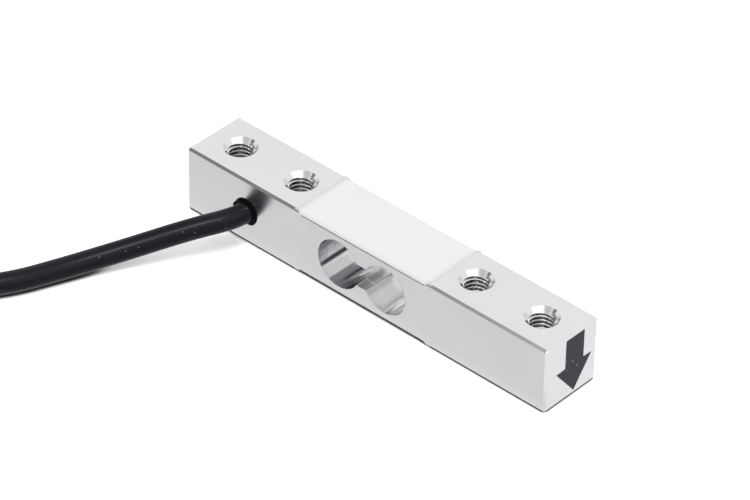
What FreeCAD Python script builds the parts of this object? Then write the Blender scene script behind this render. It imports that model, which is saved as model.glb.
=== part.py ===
import FreeCAD, Part
import math
import os

Vector = FreeCAD.Vector

# Single point load cell: a bar with a double-lobed cut-out that leaves four thin bending webs, foil
# gauges bonded over the webs in shallow recesses, and a four-core cable sealed into the side.
# Millimetres. X runs along the bar from the fixed end, where the cable is, to the load end, Y across
# it and Z up. The origin is at the middle of the bar's bottom face.

# Bar
bar_length = 80.0
bar_width = 12.7
bar_height = 12.7
edge_chamfer = 0.4
cut_margin = 1.0

# Bending cut-out, two round lobes joined by a slot
lobe_diameter = 9.2
lobe_offset = 5.1
slot_height = 4.4

# Gauge recesses, top and bottom, with an S-shaped ramp at each end
recess_length = 29.4
recess_depth = 0.8
recess_ramp = 1.2

# Mounting holes, M5 through the bar, two at each end, countersunk at 90 degrees on both faces
hole_from_end = 6.5
hole_spacing = 14.0
thread_diameter = 5.0
countersink_diameter = 6.0

# Cable and its bore in the side of the bar
cable_diameter = 3.8
cable_from_end = 13.8
bore_diameter = 5.2
sealed_length = 5.0
bead_height = 0.6
bead_overlap = 0.15
bead_top_width = 0.25

# Cores inside the bore, spliced to enamelled wires
core_diameter = 0.9
core_offset = 0.6
core_inner_length = 1.6
sleeve_diameter = 1.1
sleeve_length = 2.4

# Enamelled wires and the ducts that they run in
wire_diameter = 0.3
wire_sides = 6
wire_spacing = 0.4
wires_per_duct = 4
duct_diameter = 1.8
duct_offset = 4.2
duct_mouth_offset = 12.0
crossing_duct_offset = 12.2
duct_entry = 3.0

# Foil gauges
backing_thickness = 0.06
backing_width = 3.0
backing_margin = 0.2
foil_thickness = 0.03
grid_legs = 8
grid_length = 2.6
grid_pitch = 0.26
leg_width = 0.13
loop_width = 0.2
neck_length = 0.4
tab_length = 0.8
tab_width = 0.7

# Terminal boards between the gauges
board_half_length = 1.8
board_thickness = 0.2
board_margin = 0.3
pad_thickness = 0.035
pad_length = 0.9
pad_width = 0.6
pad_offset = 1.1
pad_pitch = 0.9
first_pad = 2.3
wire_straight = 1.6

# Ribbon leads from the gauges' tabs to the boards
ribbon_width = 0.3
ribbon_thickness = 0.05
ribbon_grip = 0.45
ribbon_lead = 0.15

# Chip resistors on the top board
resistor_length = 2.0
resistor_width = 0.9
resistor_height = 0.3
resistor_pad_spacing = 1.4
resistor_centre = 3.0

# Silicone coats over the gauges
coat_gap = 0.08
coat_inset = 0.15
coat_round = 1.4

# Free cable: the route of its middle line as seen in the open, then a flat coil of the rest
exit_x = cable_from_end - bar_length / 2
exit_y = -bar_width / 2
exit_z = bar_height / 2
floor_z = cable_diameter / 2
arc_share = 0.45
straight_exit = 1.6

coil_mean_radius = 19.0
coil_pitch = 3.9
coil_slack = 0.15
coil_clearance = 0.5
coil_corner = 1.2
coil_turns = 3
shift_angle = 60.0
curl_lead_angle = 30.0
curl_radius = 12.0
curl_angle = 135.0
tie_thickness = 0.4
tie_width = 3.0
tie_clearance = 0.05
tie_angle = 135.0
twist_length = 7.0
twist_width = 1.6
ring_half_height = cable_diameter / 2 + coil_slack
ring_z = tie_thickness + tie_clearance + ring_half_height
octagon_corner = 1 - math.tan(math.radians(22.5))

cable_route = [
    Vector(exit_x, exit_y, exit_z),
    Vector(exit_x, exit_y - straight_exit, exit_z),
    Vector(-27.1, -10.7, 6.25),
    Vector(-30.5, -16.0, 5.5),
    Vector(-36.4, -25.0, 3.2),
    Vector(-41.3, -34.0, floor_z),
    Vector(-45.3, -44.0, floor_z),
    Vector(-52.0, -52.0, floor_z),
    Vector(-60.1, -57.9, ring_z),
    Vector(-69.9, -60.0, ring_z),
]

# Stripped leads, fanned out inside the coil
lead_sides = 8
lead_length = 8.5
lead_fan_angle = 8.0
outermost_lead_angle = 5.0
tip_length = 3.0
tip_diameter = 0.5
drain_diameter = 0.6

CORE_PLACES = [("red", -1, 1), ("black", -1, -1), ("green", 1, 1), ("white", 1, -1)]
GAUGE_ENDS = [("fixed", -1), ("load", 1)]
LEAD_ORDER = ["red", "black", "drain", "green", "white"]

# Places worked out from the sizes above
recess_floor = bar_height - recess_depth
mid_height = bar_height / 2
seal_y = exit_y + sealed_length
pad_top = recess_floor + board_thickness + pad_thickness
inner_turn = coil_mean_radius - coil_pitch
outer_turn = coil_mean_radius + coil_pitch
wire_z = pad_top + wire_diameter / 2
duct_slope = math.atan2(recess_floor - mid_height, -duct_mouth_offset - exit_x)
tab_y = (grid_legs - 1) / 2 * grid_pitch + leg_width / 2 - tab_width / 2
tab_start = grid_length / 2 + neck_length
tab_end = tab_start + tab_length
board_half_width = first_pad + (wires_per_duct - 1) * pad_pitch + pad_width / 2 + board_margin


def box(x_range, y_range, z_range):
    """A box between the two values of each range, in either order."""
    low = [min(r) for r in (x_range, y_range, z_range)]
    high = [max(r) for r in (x_range, y_range, z_range)]
    sides = [b - a for a, b in zip(low, high)]
    return Part.makeBox(*sides, Vector(*low))


def rod(start, end, diameter):
    """A straight round rod from one point to another."""
    along = end - start
    return Part.makeCylinder(diameter / 2, along.Length, start, along)


def prism_across(points, y_low, y_high):
    """A closed outline of (x, z) corners, drawn out along Y."""
    corners = [Vector(x, y_low, z) for x, z in points]
    face = Part.Face(Part.makePolygon(corners + corners[:1]))
    return face.extrude(Vector(0, y_high - y_low, 0))


def bent_path(points):
    """Straight runs joined by tangent arcs, as large as the shorter run of each pair allows."""
    edges = []
    radii = []
    start = points[0]
    for before, corner, after in zip(points, points[1:], points[2:]):
        run_in = corner - before
        run_out = after - corner
        half_turn = run_in.getAngle(run_out) / 2
        reach = arc_share * min(run_in.Length, run_out.Length)
        radius = reach / math.tan(half_turn)
        run_in.normalize()
        run_out.normalize()
        inward = run_out - run_in
        inward.normalize()
        arc_start = corner - run_in * reach
        arc_end = corner + run_out * reach
        arc_middle = corner + inward * (radius / math.cos(half_turn) - radius)
        edges.append(Part.LineSegment(start, arc_start).toShape())
        edges.append(Part.Arc(arc_start, arc_middle, arc_end).toShape())
        radii.append(radius)
        start = arc_end
    edges.append(Part.LineSegment(start, points[-1]).toShape())
    return Part.Wire(edges), radii


def bent_rod(points, diameter):
    """A round rod along a bent path."""
    path, radii = bent_path(points)
    section = Part.Wire(Part.makeCircle(diameter / 2, points[0], points[1] - points[0]))
    return path.makePipeShell([section], True, False), path.Length, radii


def faceted_section(start, along, diameter, sides):
    """A many-sided outline, as plain as a thin round wire may be, square to the direction along."""
    turns = [2 * math.pi * k / sides for k in range(sides)]
    corners = [Vector(math.cos(t), math.sin(t), 0) * (diameter / 2) for t in turns]
    outline = Part.makePolygon(corners + corners[:1])
    outline.Placement = FreeCAD.Placement(start, FreeCAD.Rotation(Vector(0, 0, 1), along))
    return outline


def mitred_wire(points):
    """An enamelled wire of straight runs with mitred corners."""
    section = faceted_section(points[0], points[1] - points[0], wire_diameter, wire_sides)
    return Part.makePolygon(points).makePipeShell([section], True, False, 1)


def to_bottom(shape):
    """The same piece on the bottom side of the bar."""
    return shape.mirror(Vector(0, 0, mid_height), Vector(0, 0, 1))


def recess_space():
    """The space of the top recess: a flat floor with an S-shaped ramp of two equal arcs at each end."""
    half = recess_length / 2
    ramp_radius = (recess_ramp**2 + recess_depth**2) / (4 * recess_depth)
    quarter = math.atan(recess_depth / recess_ramp)
    along = ramp_radius * math.sin(quarter)
    rise = ramp_radius * (1 - math.cos(quarter))
    y = -bar_width / 2 - cut_margin

    def at(x, z):
        return Vector(x, y, z)

    edges = []
    for side in (-1, 1):
        top = at(side * half, bar_height)
        middle = at(side * (half - recess_ramp / 2), bar_height - recess_depth / 2)
        foot = at(side * (half - recess_ramp), recess_floor)
        upper = at(side * (half - along), bar_height - rise)
        lower = at(side * (half - recess_ramp + along), recess_floor + rise)
        edges.append(Part.Arc(top, upper, middle).toShape())
        edges.append(Part.Arc(middle, lower, foot).toShape())
        edges.append(Part.LineSegment(top, at(side * half, bar_height + cut_margin)).toShape())
    foot_x = half - recess_ramp
    edges.append(Part.LineSegment(at(-foot_x, recess_floor), at(foot_x, recess_floor)).toShape())
    lid_z = bar_height + cut_margin
    edges.append(Part.LineSegment(at(-half, lid_z), at(half, lid_z)).toShape())
    outline = Part.Wire(Part.__sortEdges__(edges))
    return Part.Face(outline).extrude(Vector(0, bar_width + 2 * cut_margin, 0))


def bending_cutout():
    """Two lobes and the slot between them, right through the bar along Y."""
    through = bar_width + 2 * cut_margin
    y = -through / 2
    starts = [Vector(side * lobe_offset, y, mid_height) for side in (-1, 1)]
    lobes = [Part.makeCylinder(lobe_diameter / 2, through, start, Vector(0, 1, 0)) for start in starts]
    slot_z = (mid_height - slot_height / 2, mid_height + slot_height / 2)
    slot = box((-lobe_offset, lobe_offset), (y, -y), slot_z)
    return slot.multiFuse(lobes)


def mounting_hole(x):
    """One M5 hole along Z with a countersink at each face."""
    hole = Part.makeCylinder(thread_diameter / 2, bar_height, Vector(x, 0, 0))
    sink_depth = (countersink_diameter - thread_diameter) / 2
    sink_start = Vector(x, 0, bar_height - sink_depth)
    sink = Part.makeCone(thread_diameter / 2, countersink_diameter / 2, sink_depth, sink_start)
    return hole.multiFuse([sink, to_bottom(sink)])


def hole_places():
    """The X places of the mounting holes, from the fixed end to the load end."""
    outer = bar_length / 2 - hole_from_end
    return [-outer, hole_spacing - outer, outer - hole_spacing, outer]


def duct_direction():
    return Vector(math.cos(duct_slope), 0, math.sin(duct_slope))


def wire_ducts():
    """A slanted duct from the cable's bore to the top recess and an upright one between the recesses."""
    bore_end = duct_offset + duct_diameter / 2
    bore_start = Vector(exit_x, exit_y - cut_margin, mid_height)
    bore = rod(bore_start, Vector(exit_x, bore_end, mid_height), bore_diameter)
    start = Vector(exit_x, duct_offset, mid_height)
    slanted_length = (bar_height + cut_margin - mid_height) / math.sin(duct_slope)
    slanted = rod(start, start + duct_direction() * slanted_length, duct_diameter)
    x = -crossing_duct_offset
    crossing = rod(Vector(x, -duct_offset, 0), Vector(x, -duct_offset, bar_height), duct_diameter)
    return [bore, slanted, crossing]


def make_beam():
    bar = Part.makeBox(bar_length, bar_width, bar_height, Vector(-bar_length / 2, -bar_width / 2, 0))
    bar = bar.makeChamfer(edge_chamfer, bar.Edges)
    recess = recess_space()
    cuts = [recess, to_bottom(recess), bending_cutout()]
    cuts += [mounting_hole(x) for x in hole_places()]
    cuts += wire_ducts()
    return bar.cut(cuts).removeSplitter()


def gauge_range(side, u_range):
    """X places of a gauge's feature, from its place u measured towards the middle of the bar."""
    return [side * (lobe_offset - u) for u in u_range]


def make_backing(side):
    outer_end = -grid_length / 2 - loop_width - 2 * backing_margin
    x_range = gauge_range(side, (outer_end, tab_end + backing_margin))
    half = backing_width / 2
    return box(x_range, (-half, half), (recess_floor, recess_floor + backing_thickness))


def make_grid(side):
    """The foil: long legs joined by end loops, with a solder tab on each of the two outer legs."""
    z_low = recess_floor + backing_thickness
    z_range = (z_low, z_low + foil_thickness)
    half = grid_length / 2
    pieces = []
    places = [(i - (grid_legs - 1) / 2) * grid_pitch for i in range(grid_legs)]
    for i, y in enumerate(places):
        is_outer = i in (0, grid_legs - 1)
        reach = tab_start if is_outer else half
        pieces.append(box(gauge_range(side, (-half, reach)), (y - leg_width / 2, y + leg_width / 2), z_range))
    for i, (y, following) in enumerate(zip(places, places[1:])):
        far = i % 2 == 0
        u_range = (-half - loop_width, -half) if far else (half, half + loop_width)
        y_range = (y - leg_width / 2, following + leg_width / 2)
        pieces.append(box(gauge_range(side, u_range), y_range, z_range))
    for sign in (-1, 1):
        y_range = (sign * tab_y - tab_width / 2, sign * tab_y + tab_width / 2)
        pieces.append(box(gauge_range(side, (tab_start, tab_end)), y_range, z_range))
    return pieces[0].multiFuse(pieces[1:]).removeSplitter()


def make_ribbon(side, sign):
    """A flat lead from a gauge's tab up to the board's pad, in one thin bent strip."""
    tab_top = recess_floor + backing_thickness + foil_thickness
    tab_middle = lobe_offset - (tab_start + tab_end) / 2
    lower = [
        (tab_middle + ribbon_grip / 2, tab_top),
        (tab_middle - ribbon_grip / 2, tab_top),
        (board_half_length + ribbon_lead, pad_top),
        (pad_offset - ribbon_grip / 2, pad_top),
    ]
    upper = [(x, z + ribbon_thickness) for x, z in reversed(lower)]
    outline = [(side * x, z) for x, z in lower + upper]
    return prism_across(outline, sign * tab_y - ribbon_width / 2, sign * tab_y + ribbon_width / 2)


def make_board():
    x_range = (-board_half_length, board_half_length)
    y_range = (-board_half_width, board_half_width)
    return box(x_range, y_range, (recess_floor, recess_floor + board_thickness))


def pad_rows():
    """Y places of the pads that the wires of one duct reach, from the middle outwards."""
    return [first_pad + k * pad_pitch for k in range(wires_per_duct)]


def make_pads(wired_sides, with_resistors):
    """Copper pads: one for each wire and gauge lead, and two under each resistor."""
    places = [(side * pad_offset, sign * tab_y) for _, side in GAUGE_ENDS for sign in (-1, 1)]
    places += [(-pad_offset, sign * y) for sign in wired_sides for y in pad_rows()]
    if with_resistors:
        shifts = (-resistor_pad_spacing / 2, resistor_pad_spacing / 2)
        places += [(pad_offset, sign * resistor_centre + shift) for sign in (-1, 1) for shift in shifts]
    z_range = (recess_floor + board_thickness, pad_top)
    pads = [
        box((x - pad_length / 2, x + pad_length / 2), (y - pad_width / 2, y + pad_width / 2), z_range)
        for x, y in places
    ]
    return Part.makeCompound(pads)


def make_resistor(sign):
    y = sign * resistor_centre
    x_range = (pad_offset - resistor_width / 2, pad_offset + resistor_width / 2)
    y_range = (y - resistor_length / 2, y + resistor_length / 2)
    return box(x_range, y_range, (pad_top, pad_top + resistor_height))


def lane(k):
    """Distance from the bar's middle plane of wire k in a duct, the innermost first."""
    return duct_offset + (k - (wires_per_duct - 1) / 2) * wire_spacing


def pad_run(k, sign):
    """The last two points of wire k on the top board, beside its pad's row and on the pad."""
    y = sign * pad_rows()[k]
    beside = Vector(-board_half_length - wire_straight, y, wire_z)
    return [beside, Vector(-pad_offset + pad_length / 4, y, wire_z)]


def mirrored(points):
    return [Vector(p.x, p.y, bar_height - p.z) for p in points]


def make_bridge_wire(k):
    """An enamelled wire from the top board down the upright duct to the bottom board."""
    upper = [Vector(-crossing_duct_offset, -lane(k), wire_z)] + pad_run(k, -1)
    return mitred_wire(mirrored(reversed(upper)) + upper)


def core_place(x_side, z_side, y):
    return Vector(exit_x + x_side * core_offset, y, mid_height + z_side * core_offset)


def make_core_end(x_side, z_side):
    start = core_place(x_side, z_side, seal_y)
    return rod(start, core_place(x_side, z_side, seal_y + core_inner_length), core_diameter)


def make_sleeve(x_side, z_side):
    start = core_place(x_side, z_side, seal_y + core_inner_length)
    end = core_place(x_side, z_side, seal_y + core_inner_length + sleeve_length)
    return rod(start, end, sleeve_diameter)


def make_duct_wire(k, x_side, z_side):
    """An enamelled wire from a core's splice through the slanted duct to the top board."""
    y = lane(k)
    sleeve_end = seal_y + core_inner_length + sleeve_length
    axis_start = Vector(exit_x, y, mid_height)
    mouth = axis_start + duct_direction() * ((wire_z - mid_height) / math.sin(duct_slope))
    points = [
        core_place(x_side, z_side, sleeve_end),
        core_place(x_side, z_side, y),
        axis_start + duct_direction() * duct_entry,
        mouth,
    ]
    return mitred_wire(points + pad_run(k, 1))


def make_jacket_end():
    return rod(Vector(exit_x, exit_y, mid_height), Vector(exit_x, seal_y, mid_height), cable_diameter)


def make_sealant():
    """The plug of sealant round the jacket in the bore, with a low bead outside round the rim."""
    inner = cable_diameter / 2
    bead_outer = bore_diameter / 2 + bead_overlap
    corners = [
        Vector(inner, seal_y, 0),
        Vector(bore_diameter / 2, seal_y, 0),
        Vector(bore_diameter / 2, exit_y, 0),
        Vector(bead_outer, exit_y, 0),
        Vector(inner + bead_top_width, exit_y - bead_height, 0),
        Vector(inner, exit_y - bead_height, 0),
    ]
    profile = Part.Face(Part.makePolygon(corners + corners[:1]))
    plug = profile.revolve(Vector(0, 0, 0), Vector(0, 1, 0), 360)
    plug.translate(Vector(exit_x, 0, mid_height))
    return plug


def coil_middle():
    """The coil's centre, the point where the straight lead-in touches the outer turn, and its angle."""
    heading = cable_route[-1] - cable_route[-2]
    heading.normalize()
    beside = Vector(heading.y, -heading.x, 0)
    clear = outer_turn + ring_half_height + coil_clearance + cable_diameter / 2
    touch = cable_route[-1] + heading * math.sqrt(clear**2 - outer_turn**2)
    return touch + beside * outer_turn, touch, math.degrees(math.atan2(-beside.y, -beside.x))


def coil_section(inner_radius, outer_radius, half_height, corner):
    """A radial section with cut corners, in the XZ plane beside the coil's axis."""
    low_x, high_x = inner_radius - half_height, outer_radius + half_height
    corners = [
        Vector(low_x + corner, 0, -half_height),
        Vector(high_x - corner, 0, -half_height),
        Vector(high_x, 0, corner - half_height),
        Vector(high_x, 0, half_height - corner),
        Vector(high_x - corner, 0, half_height),
        Vector(low_x + corner, 0, half_height),
        Vector(low_x, 0, half_height - corner),
        Vector(low_x, 0, corner - half_height),
    ]
    return Part.Face(Part.makePolygon(corners + corners[:1]))


def around(centre, radius, degrees):
    angle = math.radians(degrees)
    return centre + Vector(math.cos(angle), math.sin(angle), 0) * radius


def curl_place():
    """The middle of the jacket's last curl, which leaves the inner turn, and the angle where it starts."""
    centre, _, touch_angle = coil_middle()
    start_angle = touch_angle + shift_angle + curl_lead_angle
    return around(centre, inner_turn - curl_radius, start_angle), start_angle


def make_curl():
    middle, start_angle = curl_place()
    half = cable_diameter / 2
    section = coil_section(curl_radius, curl_radius, half, half * octagon_corner)
    curl = section.revolve(Vector(0, 0, 0), Vector(0, 0, -1), curl_angle)
    curl.rotate(Vector(0, 0, 0), Vector(0, 0, 1), start_angle)
    curl.translate(middle)
    return curl


def make_coil():
    """The outer shape of the flat coil: its ring of turns, the lead-in and the jacket's end inside."""
    centre, touch, _ = coil_middle()
    section = coil_section(inner_turn, outer_turn, ring_half_height, coil_corner)
    ring = section.revolve(Vector(0, 0, 0), Vector(0, 0, 1), 360)
    ring.translate(centre)
    lead_in = rod(cable_route[-1], touch, cable_diameter)
    turned = sum(2 * math.pi * (outer_turn - k * coil_pitch) for k in range(coil_turns))
    turned += math.radians(curl_angle) * curl_radius
    turned -= math.radians(shift_angle) * coil_mean_radius + math.radians(curl_lead_angle) * inner_turn
    print("jacket length in the coil", round(turned + (touch - cable_route[-1]).Length, 1))
    return ring.multiFuse([lead_in, make_curl()])


def make_tie():
    """A twist tie round the turns of the coil, with its two ends twisted together outside."""
    held = ring_half_height + tie_clearance
    grown = held + tie_thickness - ring_half_height
    sweep = math.degrees(tie_width / coil_mean_radius)
    band = coil_section(inner_turn, outer_turn, held + tie_thickness, coil_corner + grown * octagon_corner)
    band = band.cut(coil_section(inner_turn, outer_turn, held, coil_corner))
    tie = band.revolve(Vector(0, 0, 0), Vector(0, 0, 1), sweep)
    tie.rotate(Vector(0, 0, 0), Vector(0, 0, 1), -sweep / 2)
    outside = outer_turn + held + tie_thickness / 2
    tie = tie.fuse(rod(Vector(outside, 0, 0), Vector(outside + twist_length, 0, 0), twist_width))
    tie.rotate(Vector(0, 0, 0), Vector(0, 0, 1), tie_angle)
    tie.translate(coil_middle()[0])
    return tie


def jacket_end():
    """Where the jacket ends inside the coil, with its heading and the direction outwards."""
    middle, start_angle = curl_place()
    end = around(middle, curl_radius, start_angle - curl_angle)
    outward = (end - middle).normalize()
    return end, Vector(outward.y, -outward.x, 0), outward


def lead_line(name, radial_side, z_side, end_diameter):
    """Start and end of a lead with its tip: out of the jacket's end and straight down to the floor."""
    end, heading, outward = jacket_end()
    start = end - outward * radial_side * core_offset + Vector(0, 0, z_side * core_offset)
    turn = math.radians(outermost_lead_angle + LEAD_ORDER.index(name) * lead_fan_angle)
    along = heading * math.cos(turn) - outward * math.sin(turn)
    last = start + along * (lead_length + tip_length)
    last.z = end_diameter / 2
    return start, last


def faceted_rod(start, end, diameter):
    section = faceted_section(start, end - start, diameter, lead_sides)
    return Part.Face(section).extrude(end - start)


def straight_lead(start, last, diameter):
    """A straight lead that starts flush on the jacket's flat end."""
    end, heading, _ = jacket_end()
    along = (last - start).normalize()
    lead = faceted_rod(start - along * diameter, start + along * lead_length, diameter)
    behind = Part.makeCylinder(cable_diameter, cable_diameter, end, heading * -1)
    return lead.cut(behind)


def make_lead(name, radial_side, z_side):
    start, last = lead_line(name, radial_side, z_side, tip_diameter)
    return straight_lead(start, last, core_diameter)


def make_tips():
    """The bare tinned ends of the four leads."""
    tips = []
    for name, radial_side, z_side in CORE_PLACES:
        start, last = lead_line(name, radial_side, z_side, tip_diameter)
        along = (last - start).normalize()
        lead_end = start + along * lead_length
        tips.append(faceted_rod(lead_end, lead_end + along * tip_length, tip_diameter))
    return Part.makeCompound(tips)


def make_drain():
    """The bare shield wire, twisted together and laid beside the leads."""
    start, last = lead_line("drain", 0, 0, drain_diameter)
    return straight_lead(start, last, drain_diameter)


def make_coat(embedded):
    """Silicone that fills a recess up to a little below the bar's face, thinning out to the long edges."""
    edge = bar_width / 2 - coat_inset
    top = bar_height - coat_gap
    drop = top - recess_floor
    radius = (coat_round**2 + drop**2) / (2 * drop)
    middle_angle = math.asin(coat_round / radius) / 2
    x = -recess_length / 2

    def rounded(side):
        shoulder = Vector(x, side * (edge - coat_round), top)
        turn = side * (edge - coat_round + radius * math.sin(middle_angle))
        bend = Vector(x, turn, top - radius * (1 - math.cos(middle_angle)))
        foot = Vector(x, side * edge, recess_floor)
        return shoulder, Part.Arc(shoulder, bend, foot).toShape(), foot

    left_shoulder, left_arc, left_foot = rounded(-1)
    right_shoulder, right_arc, right_foot = rounded(1)
    flat_top = Part.LineSegment(left_shoulder, right_shoulder).toShape()
    flat_foot = Part.LineSegment(left_foot, right_foot).toShape()
    outline = Part.Wire(Part.__sortEdges__([left_arc, flat_top, right_arc, flat_foot]))
    block = Part.Face(outline).extrude(Vector(recess_length, 0, 0))
    return block.common(recess_space()).cut(embedded)


def solids_of(shapes):
    return [solid for shape in shapes for solid in shape.Solids]


def make_gauge_pieces():
    """Backings, foil grids and ribbon leads of the four gauges, by name."""
    pieces = {}
    for end_name, side in GAUGE_ENDS:
        pieces[end_name + "_gauge_backing"] = make_backing(side)
        pieces[end_name + "_gauge_foil"] = make_grid(side)
        for lead_name, sign in (("first", -1), ("second", 1)):
            pieces[end_name + "_gauge_" + lead_name + "_lead"] = make_ribbon(side, sign)
    return pieces


def make_parts():
    parts = {"beam": make_beam()}
    gauges = make_gauge_pieces()
    top = {"top_" + name: shape for name, shape in gauges.items()}
    top["top_terminal_board"] = make_board()
    top["top_terminal_pads"] = make_pads((-1, 1), True)
    top["zero_trim_resistor"] = make_resistor(-1)
    top["span_resistor"] = make_resistor(1)
    bottom = {"bottom_" + name: to_bottom(shape) for name, shape in gauges.items()}
    bottom["bottom_terminal_board"] = to_bottom(make_board())
    bottom["bottom_terminal_pads"] = to_bottom(make_pads((-1,), False))
    bridge_wires = {}
    for k in range(wires_per_duct):
        bridge_wires["bridge_wire_" + str(k + 1)] = make_bridge_wire(k)
    duct_wires = {}
    for k, (colour, x_side, z_side) in enumerate(reversed(CORE_PLACES)):
        duct_wires[colour + "_terminal_wire"] = make_duct_wire(k, x_side, z_side)
        parts[colour + "_core_end"] = make_core_end(x_side, z_side)
        parts[colour + "_splice_sleeve"] = make_sleeve(x_side, z_side)
    shared = list(bridge_wires.values())
    parts["top_coat"] = make_coat(solids_of(list(top.values()) + shared + list(duct_wires.values())))
    bottom_embedded = solids_of(list(bottom.values()) + shared)
    parts["bottom_coat"] = to_bottom(make_coat([to_bottom(solid) for solid in bottom_embedded]))
    for group in (top, bottom, bridge_wires, duct_wires):
        parts.update(group)
    parts["cable_jacket_end"] = make_jacket_end()
    parts["cable_sealant"] = make_sealant()
    cable, cable_length, radii = bent_rod(cable_route, cable_diameter)
    parts["signal_cable"] = cable
    section = math.pi * cable_diameter**2 / 4
    print("cable radii", [round(r, 1) for r in radii], "length", round(cable_length, 2))
    print("cable volume over section times length", round(cable.Volume / (section * cable_length), 5))
    parts["cable_coil"] = make_coil()
    parts["coil_tie"] = make_tie()
    for colour, radial_side, z_side in CORE_PLACES:
        parts[colour + "_lead"] = make_lead(colour, radial_side, z_side)
    parts["tinned_lead_tips"] = make_tips()
    parts["shield_drain_wire"] = make_drain()
    return parts


os.makedirs("parts", exist_ok=True)
for name, shape in make_parts().items():
    shape.exportStep("parts/" + name + ".step")
    state = "valid" if shape.isValid() else "INVALID"
    print(name, len(shape.Solids), "solids", round(shape.Volume, 4), "mm3", state)
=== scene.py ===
import math

import bmesh
import bpy
from mathutils import Matrix, Vector, noise


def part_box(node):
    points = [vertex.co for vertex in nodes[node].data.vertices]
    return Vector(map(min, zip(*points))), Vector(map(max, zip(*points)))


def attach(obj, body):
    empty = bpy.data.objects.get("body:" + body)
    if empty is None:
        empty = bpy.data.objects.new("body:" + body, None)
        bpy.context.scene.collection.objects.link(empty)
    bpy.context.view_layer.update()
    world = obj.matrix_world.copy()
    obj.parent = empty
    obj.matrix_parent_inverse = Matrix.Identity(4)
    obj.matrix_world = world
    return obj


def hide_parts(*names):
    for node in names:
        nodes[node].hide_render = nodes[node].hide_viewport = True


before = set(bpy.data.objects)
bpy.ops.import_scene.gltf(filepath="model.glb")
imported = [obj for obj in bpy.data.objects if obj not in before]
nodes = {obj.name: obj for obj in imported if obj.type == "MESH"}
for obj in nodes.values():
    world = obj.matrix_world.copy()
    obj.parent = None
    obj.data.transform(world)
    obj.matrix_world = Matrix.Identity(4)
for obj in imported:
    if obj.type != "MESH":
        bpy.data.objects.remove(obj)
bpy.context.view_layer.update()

# Single point load cell in its own frame, in metres. X runs along the bar from the cable's end to the
# load end, Y across it, away from the cable's side, and Z up from the floor that it lies on.
MM = 0.001

# Camera, from the edges of the bar in the photograph
image_width = 750
sensor_width = 36.0
focal_pixels = 4288.4
camera_azimuth = 41.772
camera_elevation = 37.614
camera_roll = 1.034
camera_distance = 713.55 * MM
camera_right = -1.908 * MM
camera_up = 6.722 * MM

# Bar and holes, as in the part
beam_low, beam_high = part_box("beam")
bar_top = beam_high.z
side_y = beam_low.y
end_x = beam_high.x
mid_height = bar_top / 2
hole_from_end = 6.5 * MM
hole_spacing = 14.0 * MM
thread_radius = 2.5 * MM
thread_pitch = 0.8 * MM
countersink_depth = 0.5 * MM

# Cable
cable_diameter = 3.8 * MM
exit_x = -26.2 * MM
bore_radius = 2.6 * MM
sealed_length = 5.0 * MM
floor_z = cable_diameter / 2
ring_z = 2.5 * MM

# The cable's route in the open, which ends where the coil's lead-in starts
cable_route = [
    Vector((exit_x, side_y, mid_height)),
    Vector((exit_x, side_y - 1.6 * MM, mid_height)),
    Vector((-27.1, -10.7, 6.25)) * MM,
    Vector((-30.5, -16.0, 5.5)) * MM,
    Vector((-36.4, -25.0, 3.2)) * MM,
    Vector((-41.3, -34.0, 1.9)) * MM,
    Vector((-45.3, -44.0, 1.9)) * MM,
    Vector((-52.0, -52.0, 1.9)) * MM,
    Vector((-60.1, -57.9, 2.5)) * MM,
    Vector((-69.9, -60.0, 2.5)) * MM,
]

# Coil of the rest of the cable
coil_mean_radius = 19.0 * MM
coil_pitch = 3.9 * MM
coil_clearance = 0.5 * MM
ring_half_height = 2.05 * MM
coil_turns = 3
turn_points = 24
shift_angle = 60.0
curl_lead_angle = 30.0
curl_radius = 12.0 * MM
curl_angle = 135.0
curl_step = 15.0
outer_turn = coil_mean_radius + coil_pitch
inner_turn = coil_mean_radius - coil_pitch

# Tie round the coil's turns
tie_angle = 135.0
tie_width = 3.0 * MM
tie_thickness = 0.4 * MM
tie_clearance = 0.05 * MM
twist_length = 7.0 * MM
twist_width = 1.6 * MM

# Stripped leads at the jacket's end
core_offset = 0.6 * MM
core_diameter = 0.9 * MM
lead_length = 8.5 * MM
tip_length = 3.0 * MM
tip_diameter = 0.5 * MM
tip_twist = 1.6 * MM
drain_diameter = 0.6 * MM
drain_twist = 2.4 * MM
lead_fan_angle = 8.0
outermost_lead_angle = 5.0
lead_order = ["red", "black", "drain", "green", "white"]
core_places = {"red": (-1, 1), "black": (-1, -1), "green": (1, 1), "white": (1, -1)}

# Recess under the silicone coats
recess_half_length = 14.7 * MM
recess_depth = 0.8 * MM
recess_ramp = 1.2 * MM

# Opening through the bar, as in the part: two round lobes joined by a slot
lobe_offset = 5.1 * MM
lobe_radius = 4.6 * MM
slot_half_length = 1.06 * MM
cutout_half_length = 9.9 * MM


def place_camera():
    """The camera that took the photograph, as fitted to the bar."""
    azimuth, elevation, roll = (math.radians(a) for a in (camera_azimuth, camera_elevation, camera_roll))
    back = Vector((
        math.sin(azimuth) * math.cos(elevation),
        -math.cos(azimuth) * math.cos(elevation),
        math.sin(elevation),
    ))
    level = Vector((math.cos(azimuth), math.sin(azimuth), 0))
    upright = back.cross(level)
    right = level * math.cos(roll) + upright * math.sin(roll)
    up = upright * math.cos(roll) - level * math.sin(roll)
    data = bpy.data.cameras.new("camera")
    data.sensor_width = sensor_width
    data.lens = focal_pixels * sensor_width / image_width
    camera = bpy.data.objects.new("camera", data)
    bpy.context.scene.collection.objects.link(camera)
    turned = Matrix((right, up, back)).transposed().to_4x4()
    place = right * camera_right + up * camera_up + back * camera_distance
    camera.matrix_world = Matrix.Translation(place) @ turned
    bpy.context.scene.camera = camera
    bpy.context.scene.view_settings.view_transform = "Standard"


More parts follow.
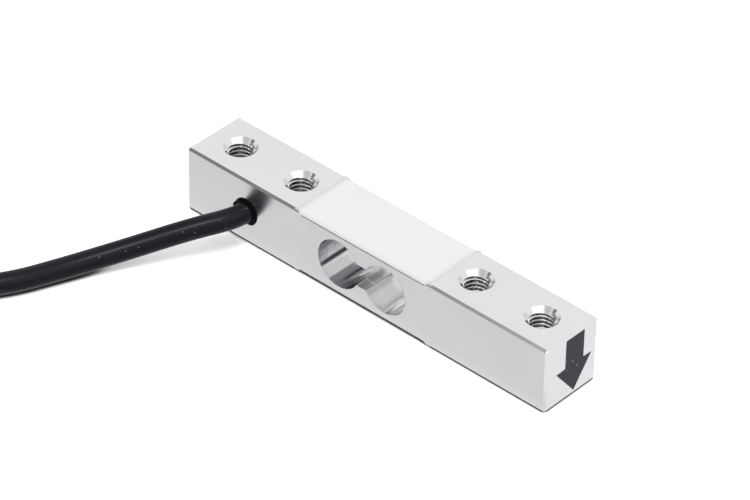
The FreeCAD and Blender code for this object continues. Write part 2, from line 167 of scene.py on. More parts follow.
def area_light(name, place, size, power):
    """A round lamp that faces the middle of the bar."""
    data = bpy.data.lights.new(name, "AREA")
    data.shape = "DISK"
    data.size = size
    data.energy = power
    light = bpy.data.objects.new(name, data)
    bpy.context.scene.collection.objects.link(light)
    light.location = place
    light.rotation_mode = "QUATERNION"
    light.rotation_quaternion = (-Vector(place)).to_track_quat("-Z", "Y")


class Nodes:
    """A material's or world's node tree, with short ways to add and join nodes."""

    def __init__(self, owner):
        owner.use_nodes = True
        self.tree = owner.node_tree
        self.tree.nodes.clear()

    def add(self, kind, **settings):
        node = self.tree.nodes.new(kind)
        for name, value in settings.items():
            setattr(node, name, value)
        return node

    def join(self, source, target):
        self.tree.links.new(source, target)

    def value(self, operation, a, b=None, clamp=False):
        """A sum or other operation on numbers, each a socket or a plain number."""
        node = self.add("ShaderNodeMath", operation=operation, use_clamp=clamp)
        for socket, entry in zip(node.inputs, (a, b)):
            if isinstance(entry, bpy.types.NodeSocket):
                self.join(entry, socket)
            elif entry is not None:
                socket.default_value = entry
        return node.outputs[0]

    def total(self, first, *others):
        """Numbers added together."""
        for other in others:
            first = self.value("ADD", first, other)
        return first

    def product(self, first, *others):
        """Numbers multiplied together."""
        for other in others:
            first = self.value("MULTIPLY", first, other)
        return first

    def axes(self, vector):
        """The X, Y and Z of a vector."""
        node = self.add("ShaderNodeSeparateXYZ")
        self.join(vector, node.inputs[0])
        return node.outputs[0], node.outputs[1], node.outputs[2]

    def place(self):
        """The X, Y and Z of a point on a surface, in the row's frame."""
        return self.axes(self.scaled_place((1, 1, 1)))

    def scaled_place(self, scale):
        """Object coordinates, in the row's frame, times a scale for each axis."""
        place = self.add("ShaderNodeTexCoord").outputs["Object"]
        mapping = self.add("ShaderNodeMapping")
        mapping.inputs["Scale"].default_value = scale
        self.join(place, mapping.inputs["Vector"])
        return mapping.outputs[0]

    def noise(self, scale, detail):
        """Fractal noise from 0 to 1, finer along an axis as its scale grows."""
        texture = self.add("ShaderNodeTexNoise")
        texture.inputs["Scale"].default_value = 1.0
        texture.inputs["Detail"].default_value = detail
        self.join(self.scaled_place(scale), texture.inputs["Vector"])
        return texture.outputs["Fac"]

    def ramp(self, factor, low, high):
        """A colour between two, chosen by a factor."""
        ramp = self.add("ShaderNodeValToRGB")
        ramp.color_ramp.elements[0].color = (*low, 1)
        ramp.color_ramp.elements[1].color = (*high, 1)
        self.join(factor, ramp.inputs["Fac"])
        return ramp.outputs["Color"]

    def spread(self, factor, low, high):
        """A number between two, chosen by a factor."""
        node = self.add("ShaderNodeMapRange")
        node.inputs["To Min"].default_value = low
        node.inputs["To Max"].default_value = high
        self.join(factor, node.inputs["Value"])
        return node.outputs["Result"]

    def step(self, factor, start, end):
        """From 0 to 1, smoothly, as a number goes from one value to another."""
        node = self.add("ShaderNodeMapRange", interpolation_type="SMOOTHSTEP")
        node.inputs["From Min"].default_value = start
        node.inputs["From Max"].default_value = end
        self.join(factor, node.inputs["Value"])
        return node.outputs["Result"]

    def mix(self, factor, a, b):
        """A blend of two colours, each a socket or plain numbers."""
        node = self.add("ShaderNodeMix", data_type="RGBA")
        self.join(factor, node.inputs["Factor"])
        for name, entry in (("A", a), ("B", b)):
            if isinstance(entry, bpy.types.NodeSocket):
                self.join(entry, node.inputs[name])
            else:
                node.inputs[name].default_value = (*entry, 1)
        return node.outputs["Result"]

    def specks(self, scale, size):
        """Small round spots scattered over a surface, 1 inside them and 0 elsewhere."""
        spots = self.add("ShaderNodeTexVoronoi")
        spots.inputs["Scale"].default_value = 1.0
        self.join(self.scaled_place((scale, scale, scale)), spots.inputs["Vector"])
        return self.value("LESS_THAN", spots.outputs["Distance"], size)

    def bump(self, height, distance, under=None):
        """The normal of a surface raised by a height, on top of another normal where one is given."""
        node = self.add("ShaderNodeBump")
        node.inputs["Distance"].default_value = distance
        self.join(height, node.inputs["Height"])
        if under is not None:
            self.join(under, node.inputs["Normal"])
        return node.outputs["Normal"]


def surface(name, metallic=0.0):
    """A new material with its principled shader."""
    material = bpy.data.materials.new(name)
    tree = Nodes(material)
    shader = tree.add("ShaderNodeBsdfPrincipled")
    output = tree.add("ShaderNodeOutputMaterial")
    tree.join(shader.outputs[0], output.inputs["Surface"])
    shader.inputs["Metallic"].default_value = metallic
    return material, tree, shader


def opening_ticks_and_painted_shade(tree, x, side_turn, height_turn):
    """How dark the opening's walls are painted, from 0 to 1, and where its slot is. The dark is painted shade
    and painted dark reflection on the first lobe's wall above and in patchy places where the walls face back
    along the bar, painted shade along one edge of the slot, and tick marks cut across the slot's floor."""
    mottle = tree.value("SUBTRACT", tree.noise((900, 1300, 900), detail=3.0), 0.5)
    faint_mottle = tree.product(mottle, 0.5)
    first_wall = tree.value("LESS_THAN", x, -lobe_offset)
    last_lobe = tree.value("GREATER_THAN", x, slot_half_length)
    in_slot = tree.value("LESS_THAN", tree.value("ABSOLUTE", x), slot_half_length)
    # Painted shade standing in for a dark reflection on the first lobe's wall above.
    painted_overhead_shade = tree.product(first_wall, tree.step(tree.total(height_turn, faint_mottle), 0.42, -0.18))
    turn = tree.total(side_turn, faint_mottle, tree.product(last_lobe, 0.42))
    # Painted shade and dark reflection where the walls face back along the bar, in patches.
    painted_back_facing_shade = tree.product(tree.step(turn, 0.12, -0.05), tree.value("GREATER_THAN", height_turn, 0.2))
    shade_patchiness = tree.spread(tree.step(mottle, -0.15, 0.15), 0.0, 0.36)
    painted_back_facing_shade = tree.product(painted_back_facing_shade, shade_patchiness, tree.value("SUBTRACT", 1.0, in_slot))
    scratches = tree.step(tree.noise((100, 2800, 100), detail=1.0), 0.44, 0.52)
    # Painted shade: a dark line along the slot's edge by the last lobe.
    painted_slot_edge_shade = tree.step(x, slot_half_length - 0.30 * MM, slot_half_length - 0.05 * MM)
    tick_marks_and_edge_shade = tree.value("MAXIMUM", tree.spread(scratches, 0.42, 0.0), painted_slot_edge_shade)
    painted_shade_and_ticks = tree.value("MAXIMUM", painted_back_facing_shade, tree.product(in_slot, tick_marks_and_edge_shade))
    return tree.value("MAXIMUM", painted_overhead_shade, painted_shade_and_ticks), in_slot


def rounded_rim(tree, x, z):
    """A bump that rounds the rims of the opening's lobes."""
    across = tree.value("SUBTRACT", tree.value("ABSOLUTE", x), lobe_offset)
    upward = tree.value("SUBTRACT", z, mid_height)
    squares = tree.total(tree.product(across, across), tree.product(upward, upward))
    from_lobe = tree.value("SUBTRACT", tree.value("SQRT", squares), lobe_radius)
    return tree.bump(tree.step(from_lobe, -0.02 * MM, 0.18 * MM), 0.07 * MM)


def machined_aluminium():
    """Milled aluminium: satin faces with faint streaks along the bar, bright bevels and an opening that is
    finely cut, with tick marks in its slot and painted shade and painted dark reflection on its walls."""
    side_limit = 0.3
    slant_limit = 0.3
    material, tree, shader = surface("machined_aluminium", metallic=1.0)
    turns = tree.axes(tree.add("ShaderNodeNewGeometry").outputs["Normal"])
    nx, ny, nz = (tree.value("ABSOLUTE", turn) for turn in turns)
    slant = tree.total(tree.product(ny, nz), tree.product(nx, tree.total(ny, nz)))
    x, _, z = tree.place()
    near_middle = tree.value("LESS_THAN", tree.value("ABSOLUTE", x), cutout_half_length)
    opening = tree.product(near_middle, tree.value("LESS_THAN", ny, side_limit))
    bevel = tree.value("GREATER_THAN", slant, slant_limit)
    bevel = tree.product(bevel, tree.value("SUBTRACT", 1.0, near_middle))
    polished = tree.value("ADD", bevel, opening, clamp=True)
    streaks = tree.noise((60, 9000, 9000), detail=2.0)
    clouds = tree.noise((120, 120, 120), detail=2.0)
    cuts = tree.noise((150, 5200, 150), detail=1.0)
    painted_shade_and_ticks, in_slot = opening_ticks_and_painted_shade(tree, x, turns[0], turns[2])
    walls = tree.ramp(cuts, (0.74, 0.74, 0.75), (0.86, 0.86, 0.87))
    # The opening's walls are painted dark grey with their painted shade and painted reflection, and in the
    # slot's tick marks.
    walls = tree.mix(painted_shade_and_ticks, tree.mix(in_slot, walls, (0.96, 0.96, 0.96)), (0.28, 0.28, 0.29))
    outside = tree.ramp(clouds, (0.86, 0.86, 0.87), (0.93, 0.93, 0.94))
    tree.join(tree.mix(opening, outside, walls), shader.inputs["Base Color"])
    rough = tree.add("ShaderNodeMix")
    tree.join(polished, rough.inputs["Factor"])
    tree.join(tree.spread(streaks, 0.17, 0.27), rough.inputs["A"])
    tree.join(tree.spread(cuts, 0.08, 0.16), rough.inputs["B"])
    tree.join(rough.outputs["Result"], shader.inputs["Roughness"])
    milled = tree.bump(tree.product(cuts, opening), 0.004 * MM, under=rounded_rim(tree, x, z))
    tree.join(tree.bump(streaks, 0.0012 * MM, under=milled), shader.inputs["Normal"])
    return material


def bright_thread_metal():
    """Freshly tapped aluminium, brighter than the bar's outside."""
    material, tree, shader = surface("tapped_aluminium", metallic=1.0)
    grain = tree.noise((900, 900, 5000), detail=2.0)
    tree.join(tree.ramp(grain, (0.84, 0.84, 0.86), (0.95, 0.95, 0.96)), shader.inputs["Base Color"])
    tree.join(tree.spread(grain, 0.13, 0.21), shader.inputs["Roughness"])
    return material


def white_silicone():
    """Soft white silicone, a little uneven from being spread by hand, greyer where it is thin at its ends and
    darkened with painted shade along its seams with the recess."""
    material, tree, shader = surface("white_silicone")
    clouds = tree.noise((160, 160, 160), detail=3.0)
    grain = tree.noise((900, 900, 900), detail=2.0)
    white = tree.ramp(clouds, (0.85, 0.865, 0.86), (0.89, 0.905, 0.90))
    x, _, z = tree.place()
    ramp_foot = recess_half_length - recess_ramp
    thin = tree.step(tree.value("ABSOLUTE", x), ramp_foot, recess_half_length + 0.4 * MM)
    from_middle = tree.value("ABSOLUTE", tree.value("SUBTRACT", z, mid_height))
    recess_level = mid_height - recess_depth
    # Painted shade: a dark line along the coat's foot, where it meets the recess.
    painted_seam_shade = tree.step(from_middle, recess_level + 0.20 * MM, recess_level + 0.06 * MM)
    toned = tree.mix(thin, white, (0.72, 0.72, 0.73))
    tree.join(tree.mix(painted_seam_shade, toned, (0.26, 0.26, 0.27)), shader.inputs["Base Color"])
    tree.join(tree.spread(grain, 0.42, 0.55), shader.inputs["Roughness"])
    uneven = tree.bump(clouds, 0.05 * MM)
    tree.join(tree.bump(grain, 0.003 * MM, under=uneven), shader.inputs["Normal"])
    shader.inputs["Subsurface Weight"].default_value = 0.15
    shader.inputs["Subsurface Radius"].default_value = (0.4 * MM,) * 3
    shader.inputs["Subsurface Scale"].default_value = 1.0
    return material


def plastic(name, dark, light, roughness, grain_scale=900.0, bump=0.004, shine=0.5):
    """A moulded or extruded plastic with a fine grain, bumped by a height in millimetres."""
    material, tree, shader = surface(name)
    shader.inputs["Specular IOR Level"].default_value = shine
    grain = tree.noise((grain_scale,) * 3, detail=4.0)
    tree.join(tree.ramp(grain, dark, light), shader.inputs["Base Color"])
    tree.join(tree.spread(grain, roughness[0], roughness[1]), shader.inputs["Roughness"])
    tree.join(tree.bump(grain, bump * MM), shader.inputs["Normal"])
    return material


def cable_plastic():
    """Black jacket plastic with a cool sheen and a few specks of dust."""
    material, tree, shader = surface("cable_jacket")
    shader.inputs["Specular IOR Level"].default_value = 0.28
    shader.inputs["Specular Tint"].default_value = (0.86, 0.88, 1.0, 1)
    grain = tree.noise((900, 900, 900), detail=4.0)
    black = tree.ramp(grain, (0.001, 0.001, 0.002), (0.004, 0.004, 0.007))
    tree.join(tree.mix(tree.specks(650.0, 0.065), black, (0.20, 0.20, 0.22)), shader.inputs["Base Color"])
    tree.join(tree.spread(grain, 0.28, 0.36), shader.inputs["Roughness"])
    tree.join(tree.bump(grain, 0.004 * MM), shader.inputs["Normal"])
    return material


def metal(name, dark, light, roughness):
    """A drawn or plated metal with a fine grain."""
    material, tree, shader = surface(name, metallic=1.0)
    grain = tree.noise((2500, 2500, 2500), detail=2.0)
    tree.join(tree.ramp(grain, dark, light), shader.inputs["Base Color"])
    tree.join(tree.spread(grain, roughness[0], roughness[1]), shader.inputs["Roughness"])
    tree.join(tree.bump(grain, 0.001 * MM), shader.inputs["Normal"])
    return material


def printed_ink():
    """Matt black ink with a few pinholes that let the metal shine through."""
    material, tree, shader = surface("printed_ink")
    pinhole = tree.specks(900.0, 0.085)
    shader.inputs["Specular IOR Level"].default_value = 0.25
    tree.join(tree.ramp(pinhole, (0.038, 0.038, 0.046), (0.75, 0.75, 0.76)), shader.inputs["Base Color"])
    grain = tree.noise((3000, 3000, 3000), detail=2.0)
    tree.join(tree.spread(grain, 0.45, 0.6), shader.inputs["Roughness"])
    return material


def studio_world():
    """Even white light from above, greyer near the floor and in front, darker on the left and at its front
    corner, with a dark skirting behind the load end."""
    world = bpy.data.worlds.new("studio")
    bpy.context.scene.world = world
    tree = Nodes(world)
    direction = tree.add("ShaderNodeTexCoord").outputs["Generated"]

    def toward(x, y, z, start, end):
        """From 0 to 1 as the direction turns towards another."""
        node = tree.add("ShaderNodeVectorMath", operation="DOT_PRODUCT")
        node.inputs[1].default_value = Vector((x, y, z)).normalized()
        tree.join(direction, node.inputs[0])
        return tree.step(node.outputs["Value"], start, end)

    walls = tree.ramp(toward(0, 0, 1, 0.02, 0.40), (0.58, 0.58, 0.59), (0.86, 0.86, 0.87))
    before = tree.mix(toward(-0.05, -0.68, 0.73, 0.93, 0.98), walls, (0.56, 0.56, 0.57))
    left = tree.mix(toward(-0.72, -0.05, 0.69, 0.90, 0.97), before, (0.25, 0.25, 0.26))
    corner = tree.mix(toward(-0.62, -0.55, 0.55, 0.970, 0.996), left, (0.20, 0.20, 0.21))
    skirting = tree.value("MULTIPLY", toward(0.8, 0.6, 0, 0.80, 0.92), toward(0, 0, -1, -0.33, -0.21))
    room = tree.mix(skirting, corner, (0.05, 0.05, 0.055))
    lit = tree.add("ShaderNodeBackground")
    tree.join(room, lit.inputs["Color"])
    white = tree.add("ShaderNodeBackground")
    path = tree.add("ShaderNodeLightPath")
    mix = tree.add("ShaderNodeMixShader")
    tree.join(path.outputs["Is Camera Ray"], mix.inputs[0])
    tree.join(lit.outputs[0], mix.inputs[1])
    tree.join(white.outputs[0], mix.inputs[2])
    output = tree.add("ShaderNodeOutputWorld")
    tree.join(mix.outputs[0], output.inputs["Surface"])


def make_floor():
    """A pale floor that the camera sees as white, with the object's shadow kept and painted shade darkening
    it where the object touches it. Glossy rays see it glow, a painted reflection that metal mirrors in even
    tones, brighter past the load end and just behind the bar."""
    half = 1.5
    mesh = bpy.data.meshes.new("floor")
    corners = [(-half, -half, 0), (half, -half, 0), (half, half, 0), (-half, half, 0)]
    mesh.from_pydata(corners, [], [(0, 1, 2, 3)])
    floor = bpy.data.objects.new("floor", mesh)
    bpy.context.scene.collection.objects.link(floor)
    material = bpy.data.materials.new("floor")
    tree = Nodes(material)
    path = tree.add("ShaderNodeLightPath")
    # Painted shade: ambient occlusion darkens the floor's colour for the camera where the object touches it.
    painted_contact_shade = tree.add("ShaderNodeAmbientOcclusion", samples=16)
    painted_contact_shade.inputs["Distance"].default_value = 1.2 * MM
    seen = tree.ramp(tree.step(painted_contact_shade.outputs["AO"], 0.30, 0.75), (0.07, 0.07, 0.07), (1.60, 1.60, 1.60))
    diffuse = tree.add("ShaderNodeBsdfDiffuse")
    tree.join(tree.mix(path.outputs["Is Camera Ray"], (0.80, 0.80, 0.81), seen), diffuse.inputs["Color"])
    x, y, _ = tree.place()
    behind = tree.step(y, side_y - 3 * MM, side_y + 3 * MM)
    beyond = tree.step(x, end_x - 1 * MM, end_x + 7 * MM)
    far = tree.step(y, 14 * MM, 26 * MM)
    front = tree.mix(beyond, (0.70, 0.70, 0.71), (0.88, 0.88, 0.89))
    back = tree.mix(far, (0.88, 0.88, 0.89), (0.66, 0.66, 0.67))
    # Painted reflection: glossy rays see the floor glow in tones set by place, not lit by the lamps.
    glossy_floor_glow = tree.add("ShaderNodeEmission")
    tree.join(tree.mix(behind, front, back), glossy_floor_glow.inputs["Color"])
    mix = tree.add("ShaderNodeMixShader")
    tree.join(path.outputs["Is Glossy Ray"], mix.inputs[0])
    tree.join(diffuse.outputs[0], mix.inputs[1])
    tree.join(glossy_floor_glow.outputs[0], mix.inputs[2])
    output = tree.add("ShaderNodeOutputMaterial")
    tree.join(mix.outputs[0], output.inputs["Surface"])
    mesh.materials.append(material)


def finish_piece(piece, material):
    """Links a new piece, gives it its material and lets it ride on the part's one body."""
    bpy.context.scene.collection.objects.link(piece)
    piece.data.materials.append(material)
    if piece.type == "MESH":
        piece.data.shade_smooth()
    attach(piece, "root")
    return piece


def mesh_piece(name, bm, material, crease=None):
    """A piece from a mesh, shaded smooth except at edges that turn by more degrees than its crease."""
    bmesh.ops.recalc_face_normals(bm, faces=bm.faces)
    mesh = bpy.data.meshes.new(name)
    bm.to_mesh(mesh)
    bm.free()
    piece = finish_piece(bpy.data.objects.new(name, mesh), material)
    if crease is not None:
        mesh.set_sharp_from_angle(angle=math.radians(crease))
    return piece


def dress_node(name, material):
    """Gives a piece of the CAD its material."""
    mesh = nodes[name].data
    mesh.materials.clear()
    mesh.materials.append(material)


def skin(bm, rows, closed=False):
    """Skins a row of outlines with faces. The two ends are capped, unless the row closes on itself."""
    rows = [[bm.verts.new(point) for point in row] for row in rows]
    pairs = list(zip(rows, rows[1:]))
    if closed:
        pairs.append((rows[-1], rows[0]))
    else:
        bm.faces.new(rows[0])
        bm.faces.new(rows[-1])
    count = len(rows[0])
    for here, following in pairs:
        for k in range(count):
            bm.faces.new((here[k], here[(k + 1) % count], following[(k + 1) % count], following[k]))


def thread_ridge(name, x, material):
    """The ridge of an M5 thread on the hole's wall, cut back by the countersinks at both faces."""
    around = 96
    ridge_depth = 0.541 * thread_pitch
    half_crest = thread_pitch / 8
    half_root = thread_pitch * 7 / 16
    into_wall = 0.01 * MM
    from_face = 0.05 * MM
    sunk = 0.005 * MM
    crease = 25
    root_radius = thread_radius + into_wall
    crest_radius = thread_radius - ridge_depth
    profile = [
        (root_radius, -half_root), (crest_radius, -half_crest),
        (crest_radius, half_crest), (root_radius, half_root),
    ]
    low = half_root + from_face
    high = bar_top - low
    rows = []
    for i in range(int((high - low) / thread_pitch * around) + 1):
        angle = 2 * math.pi * i / around
        middle = low + thread_pitch * i / around
        row = []
        for radius, shift in profile:
            z = middle + shift
            cone_radius = thread_radius + countersink_depth - min(z, bar_top - z)
            r = max(radius, cone_radius + sunk)
            row.append((x + r * math.cos(angle), r * math.sin(angle), z))
        rows.append(row)
    bm = bmesh.new()
    skin(bm, rows)
    mesh_piece(name, bm, material, crease)


def load_arrow(material):
    """The printed arrow on the end face, which shows the way the load acts. Its outline is in millimetres."""
    thickness = 0.015 * MM
    crease = 25
    outline = [
        (-1.55, 12.1), (2.95, 12.1), (2.95, 6.45), (4.95, 6.35), (0.8, 0.75), (-3.7, 6.35), (-1.55, 6.45),
    ]
    bm = bmesh.new()
    skin(bm, [[(x, y * MM, z * MM) for y, z in outline] for x in (end_x, end_x + thickness)])
    mesh_piece("load_direction_arrow", bm, material, crease)


def exit_sealant(material):
    """The sealant in the cable's bore, with a thin uneven rim and two lumps that were squeezed out. Each lump
    has the angle of its middle and its spread in degrees, and its share of the full size."""
    around = 96
    cable_radius = cable_diameter / 2
    lumps = [(171.0, 11.0, 1.0), (-56.0, 14.0, 0.3)]
    lump_width = 0.22 * MM
    lump_height = 0.30 * MM
    swell_start = 0.25
    wave_width = 0.03 * MM
    wave_share = 0.25
    wave_count = 2.2
    rim_steps = 8
    rim_height = 0.42 * MM
    rim_power = 0.6
    rows = []
    for i in range(around):
        angle = 2 * math.pi * i / around
        lump = 0.0
        for degrees, spread, size in lumps:
            off = (math.degrees(angle) - degrees + 180) % 360 - 180
            lump = max(lump, size * math.exp(-(off / spread) ** 2))
        wave = noise.noise(Vector((math.cos(angle), math.sin(angle), 0.3)) * wave_count)
        outer = bore_radius + wave_width * wave + lump_width * lump
        height = rim_height * (1 + wave_share * wave)
        row = [(cable_radius, sealed_length), (bore_radius, sealed_length), (bore_radius, 0.0), (outer, 0.0)]
        for k in range(1, rim_steps + 1):
            share = k / rim_steps
            swell = lump_height * lump * math.sin(math.pi * min(1.0, swell_start + share))
            row.append((outer + (cable_radius - outer) * share, -height * share ** rim_power - swell))
        rows.append([
            (exit_x + r * math.cos(angle), side_y + depth, mid_height + r * math.sin(angle))
            for r, depth in row
        ])
    bm = bmesh.new()
    skin(bm, rows, closed=True)
    piece = mesh_piece("exit_sealant", bm, material)
    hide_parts("cable_sealant")


def eased(share):
    """A share from 0 to 1 that starts and ends gently."""
    return share * share * (3 - 2 * share)


def recess_height(x):
    """Height of the recess's surface, with an S-shaped ramp of two arcs at each end."""
    radius = (recess_ramp ** 2 + recess_depth ** 2) / (4 * recess_depth)
    foot = abs(x) - (recess_half_length - recess_ramp)
    if foot <= 0:
        return bar_top - recess_depth
    if foot <= recess_ramp / 2:
        return bar_top - recess_depth + radius - math.sqrt(radius ** 2 - foot ** 2)
    left = max(0.0, recess_ramp - foot)
    return bar_top - radius + math.sqrt(radius ** 2 - left ** 2)


def silicone_coat(name, node, upside, material):
    """The silicone in a recess, rounded down at its long edges and wiped thin over the recess's ends."""
    half_width = -side_y - 0.1 * MM
    round_width = 0.75 * MM
    level = bar_top - 0.05 * MM
    drop = level - (bar_top - recess_depth)
    round_radius = (round_width ** 2 + drop ** 2) / (2 * drop)
    wave_size = 3.5 * MM
    wave_height = 0.02 * MM
    smear = 0.55 * MM
    smear_level = bar_top + 0.015 * MM
    rise_start = recess_half_length - 1.8 * MM
    rise_length = 1.6 * MM
    feather_start = 0.12 * MM
    feather_slope = 0.35
    ripple_size = 1.6 * MM
    ripple_reach = 0.14 * MM
    ripple_line = 7.0
    bed_depth = 0.05 * MM
    thinnest = 0.01 * MM
    columns, lanes = 150, 44
    rows = []
    for i in range(columns + 1):
        x = (2 * i / columns - 1) * (recess_half_length + smear)
        top_lane, low_lane = [], []
        for j in range(lanes + 1):
            y = (2 * j / lanes - 1) * half_width
            z = level + wave_height * noise.noise(Vector((x, y, 0.0)) / wave_size)
            rise = min(1.0, max(0.0, (abs(x) - rise_start) / rise_length))
            z += (smear_level - z) * eased(rise)
            ripple = noise.noise(Vector((math.copysign(ripple_line, x), y / ripple_size, 0.0)))
            over = abs(x) - recess_half_length - feather_start - ripple_reach * ripple
            z -= max(0.0, over) * feather_slope
            bent = max(0.0, abs(y) - (half_width - round_width))
            z -= round_radius - math.sqrt(round_radius ** 2 - bent ** 2)
            under = recess_height(x) - bed_depth
            top_lane.append((x, y, max(z, under + thinnest)))
            low_lane.append((x, y, under))
        rows.append(top_lane + low_lane[::-1])
    if not upside:
        rows = [[(x, y, bar_top - z) for x, y, z in row] for row in rows]
    bm = bmesh.new()
    skin(bm, rows)
    piece = mesh_piece(name, bm, material)
    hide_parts(node)


def around_point(centre, radius, degrees, z):
    """A point on a level circle round a centre."""
    angle = math.radians(degrees)
    return Vector((centre.x + radius * math.cos(angle), centre.y + radius * math.sin(angle), z))


def coil_middle():
    """The coil's centre, the point where the straight lead-in touches the outer turn, and its angle."""
    heading = (cable_route[-1] - cable_route[-2]).normalized()
    beside = Vector((heading.y, -heading.x, 0))
    clear = outer_turn + ring_half_height + coil_clearance + cable_diameter / 2
    touch = cable_route[-1] + heading * math.sqrt(clear ** 2 - outer_turn ** 2)
    return touch + beside * outer_turn, touch, math.degrees(math.atan2(-beside.y, -beside.x))


def corner_reach(step):
    """How much further out than its circle a turn's control points lie, at one for each step."""
    return 1 / (1 - (1 - math.cos(math.radians(step))) / 4)


def curl_place():
    """The middle of the jacket's last curl, which leaves the inner turn, and the angle where it starts."""
    centre, _, touch_angle = coil_middle()
    start_angle = touch_angle + shift_angle + curl_lead_angle
    return around_point(centre, inner_turn - curl_radius, start_angle, ring_z), start_angle


def coil_points():
    """Control points of the coil's turns and of the curl that ends inside them."""
    centre, touch, touch_angle = coil_middle()
    step = 360 / turn_points
    points = [cable_route[-1].lerp(touch, 0.5)]
    turned = step / 2
    while turned < coil_turns * 360 - shift_angle - curl_lead_angle:
        share = max(0.0, (turned % 360 - (360 - shift_angle)) / shift_angle)
        radius = outer_turn - coil_pitch * (turned // 360 + eased(share))
        points.append(around_point(centre, radius * corner_reach(step), touch_angle - turned, ring_z))
        turned += step
    middle, start_angle = curl_place()
    curl_reach = curl_radius * corner_reach(curl_step)
    turned = curl_step / 2
    while turned < curl_angle:
        points.append(around_point(middle, curl_reach, start_angle - turned, ring_z))
        turned += curl_step
    points.append(around_point(middle, curl_radius, start_angle - curl_angle, ring_z))
    return points


def nurbs_line(name, points, radius):
    """A round cord or wire along one open NURBS spline."""
    curve = bpy.data.curves.new(name, "CURVE")
    curve.dimensions = "3D"
    curve.bevel_depth = radius
    curve.bevel_resolution = 8
    curve.use_fill_caps = True
    spline = curve.splines.new("NURBS")
    spline.points.add(len(points) - 1)
    for entry, place in zip(spline.points, points):
        entry.co = (*place, 1)
    spline.order_u = 3
    spline.use_endpoint_u = True
    spline.resolution_u = 10
    return bpy.data.objects.new(name, curve)


def free_cable(material):
    """The cable's jacket along its route in the open and round its coil."""
    cable = nurbs_line("signal_cable_jacket", cable_route + coil_points(), cable_diameter / 2)
    finish_piece(cable, material)
    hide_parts("signal_cable", "cable_coil")
    return cable


def lead_line(name, radial_side, z_side, end_diameter):
    """Start, direction and end of a lead with its tip, and the jacket's heading where it ends."""
    middle, start_angle = curl_place()
    end = around_point(middle, curl_radius, start_angle - curl_angle, ring_z)
    outward = (end - middle).normalized()
    heading = Vector((outward.y, -outward.x, 0))
    start = end - outward * radial_side * core_offset + Vector((0, 0, z_side * core_offset))
    turn = math.radians(outermost_lead_angle + lead_order.index(name) * lead_fan_angle)
    along = heading * math.cos(turn) - outward * math.sin(turn)
    last = start + along * (lead_length + tip_length)
    last.z = end_diameter / 2
    return start, (last - start).normalized(), last, heading


def stranded(bm, start, end, diameter, twist_pitch):
    """A bundle of fine strands twisted together, one turn for each length of its pitch."""
    strands, around = 7, 42
    groove = 0.16
    steps_per_turn = 16
    along = end - start
    side = along.orthogonal().normalized()
    other = along.normalized().cross(side)
    steps = int(along.length / twist_pitch * steps_per_turn) + 2
    rows = []
    for i in range(steps + 1):
        share = i / steps
        twist = 2 * math.pi * share * along.length / twist_pitch
        row = []
        for k in range(around):
            angle = 2 * math.pi * k / around
            radius = diameter / 2 * (1 - groove + groove * abs(math.cos(strands * angle / 2)))
            spoke = side * math.cos(angle + twist) + other * math.sin(angle + twist)
            row.append(start + along * share + spoke * radius)
        rows.append(row)
    skin(bm, rows)


def stripped_leads(insulations, tin):
    """The four insulated leads, their bare tips and the twisted shield wire, fanned out inside the coil."""
    bend_share = 0.45
    pieces = []
    tips = bmesh.new()
    for colour, (radial_side, z_side) in core_places.items():
        start, along, last, heading = lead_line(colour, radial_side, z_side, tip_diameter)
        lead_end = start + along * lead_length
        points = [
            start - heading * core_diameter / 2, start + heading * core_diameter,
            start.lerp(lead_end, bend_share), lead_end,
        ]
        lead = nurbs_line(colour + "_stripped_lead", points, core_diameter / 2)
        finish_piece(lead, insulations[colour])
        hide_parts(colour + "_lead")
        pieces.append(lead)
        stranded(tips, lead_end - along * tip_diameter, last, tip_diameter, tip_twist)
    tip_piece = mesh_piece("stranded_lead_tips", tips, tin)
    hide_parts("tinned_lead_tips")
    start, along, last, heading = lead_line("drain", 0, 0, drain_diameter)
    drain = bmesh.new()
    stranded(drain, start - along * drain_diameter, last, drain_diameter, drain_twist)
    drain_piece = mesh_piece("twisted_shield_wire", drain, tin)
    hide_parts("shield_drain_wire")
    return pieces + [tip_piece, drain_piece]


def band_rows(centre, outward, across):
    """Outlines of the tie's strip, with the round of its wire along the middle, round the coil's turns."""
    strip = [
        (-0.5, -0.5), (-0.5, 0.1), (-0.15, 0.1), (-0.08, 0.42),
        (0.08, 0.42), (0.15, 0.1), (0.5, 0.1), (0.5, -0.5),
    ]
    half_height = ring_half_height + tie_clearance + tie_thickness / 2
    straight = coil_pitch
    corners = 14
    rows = []
    for side in (1, -1):
        for k in range(corners + 1):
            angle = math.pi * (k / corners - 0.5)
            normal = (outward * math.cos(angle) + Vector((0, 0, 1)) * math.sin(angle)) * side
            middle = centre + outward * (coil_mean_radius + side * straight) + normal * half_height
            rows.append([middle + across * (w * tie_width) + normal * (h * tie_thickness) for w, h in strip])
    return rows


def twist_rows(root, outward, across, phase):
    """Outlines of one of the tie's two ends, wound round the other."""
    turns, steps = 2.5, 60
    winding_radius = twist_width / 5
    half_width = twist_width * 0.42
    half_thickness = twist_width / 9
    strip = [(-1, -1), (-1, 1), (0, 1.6), (1, 1), (1, -1)]
    rows = []
    for k in range(steps + 1):
        share = k / steps
        angle = phase + 2 * math.pi * turns * share
        spoke = across * math.cos(angle) + Vector((0, 0, 1)) * math.sin(angle)
        flat = across * -math.sin(angle) + Vector((0, 0, 1)) * math.cos(angle)
        middle = root + outward * (twist_length * share) + spoke * winding_radius
        rows.append([middle + flat * (half_width * a) + spoke * (half_thickness * b) for a, b in strip])
    return rows


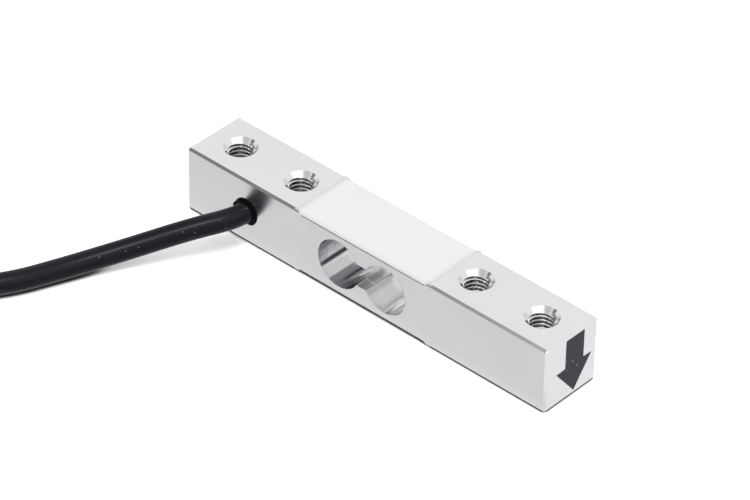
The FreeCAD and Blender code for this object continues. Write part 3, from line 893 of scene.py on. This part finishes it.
def twist_tie(material):
    """A plastic twist tie round the coil's turns, with its two ends twisted together outside."""
    centre = coil_middle()[0].copy()
    centre.z = ring_z
    angle = math.radians(tie_angle)
    outward = Vector((math.cos(angle), math.sin(angle), 0))
    across = Vector((-outward.y, outward.x, 0))
    root = centre + outward * (outer_turn + ring_half_height + tie_clearance + tie_thickness / 2)
    bm = bmesh.new()
    skin(bm, band_rows(centre, outward, across), closed=True)
    for phase in (0.0, math.pi):
        skin(bm, twist_rows(root, outward, across, phase))
    piece = mesh_piece("twist_tie", bm, material)
    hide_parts("coil_tie")
    return piece


place_camera()
studio_world()
make_floor()
area_light("key_light", place=(0.20, -0.23, 0.82), size=0.22, power=1.5)
area_light("fill_light", place=(0.62, -0.12, 0.74), size=1.1, power=0.9)

aluminium = machined_aluminium()
tapped = bright_thread_metal()
silicone = white_silicone()
ink = printed_ink()
jacket = cable_plastic()
sealant = plastic(
    "black_sealant", (0.001, 0.001, 0.001), (0.003, 0.003, 0.003), (0.20, 0.45), 500.0, bump=0.02, shine=0.05
)
tie_plastic = plastic("tie_plastic", (0.010, 0.010, 0.010), (0.022, 0.022, 0.023), (0.35, 0.5), 1400.0)
sleeve_plastic = plastic("sleeve_plastic", (0.012, 0.012, 0.013), (0.024, 0.024, 0.025), (0.45, 0.6), 1200.0)
insulations = {
    "red": plastic("red_insulation", (0.42, 0.015, 0.012), (0.56, 0.025, 0.02), (0.28, 0.42), 1500.0),
    "black": plastic("black_insulation", (0.010, 0.010, 0.010), (0.022, 0.022, 0.022), (0.28, 0.42), 1500.0),
    "green": plastic("green_insulation", (0.012, 0.20, 0.05), (0.02, 0.29, 0.08), (0.28, 0.42), 1500.0),
    "white": plastic("white_insulation", (0.70, 0.70, 0.67), (0.80, 0.80, 0.77), (0.28, 0.42), 1500.0),
}
laminate = plastic("board_laminate", (0.03, 0.11, 0.045), (0.06, 0.17, 0.07), (0.35, 0.5), 5000.0)
film = plastic("polyimide_film", (0.42, 0.16, 0.015), (0.52, 0.22, 0.03), (0.12, 0.22), 3000.0, 0.001)
resistor_body = plastic("resistor_body", (0.012, 0.012, 0.014), (0.03, 0.03, 0.034), (0.4, 0.6), 6000.0)
tin = metal("tinned_copper", (0.60, 0.59, 0.57), (0.80, 0.79, 0.77), (0.18, 0.32))
constantan = metal("constantan_foil", (0.50, 0.38, 0.27), (0.60, 0.48, 0.36), (0.16, 0.28))
enamelled = metal("enamelled_wire", (0.42, 0.12, 0.045), (0.55, 0.19, 0.08), (0.10, 0.20))

cable = free_cable(jacket)
lead_pieces = stripped_leads(insulations, tin)
tie = twist_tie(tie_plastic)

finishes = {
    "beam": aluminium,
    "terminal_board": laminate,
    "terminal_pads": tin,
    "resistor": resistor_body,
    "gauge_backing": film,
    "gauge_foil": constantan,
    "first_lead": tin,
    "second_lead": tin,
    "bridge_wire": enamelled,
    "terminal_wire": enamelled,
    "splice_sleeve": sleeve_plastic,
    "jacket_end": jacket,
}
for colour, insulation in insulations.items():
    finishes[colour + "_core_end"] = insulation
for node in nodes:
    for part_name, material in finishes.items():
        if part_name in node:
            dress_node(node, material)

silicone_coat("top_silicone", "top_coat", True, silicone)
silicone_coat("bottom_silicone", "bottom_coat", False, silicone)
outer_hole = end_x - hole_from_end
for name, x in (
    ("fixed_outer", -outer_hole),
    ("fixed_inner", hole_spacing - outer_hole),
    ("load_inner", outer_hole - hole_spacing),
    ("load_outer", outer_hole),
):
    thread_ridge("thread_" + name, x, tapped)
load_arrow(ink)
exit_sealant(sealant)
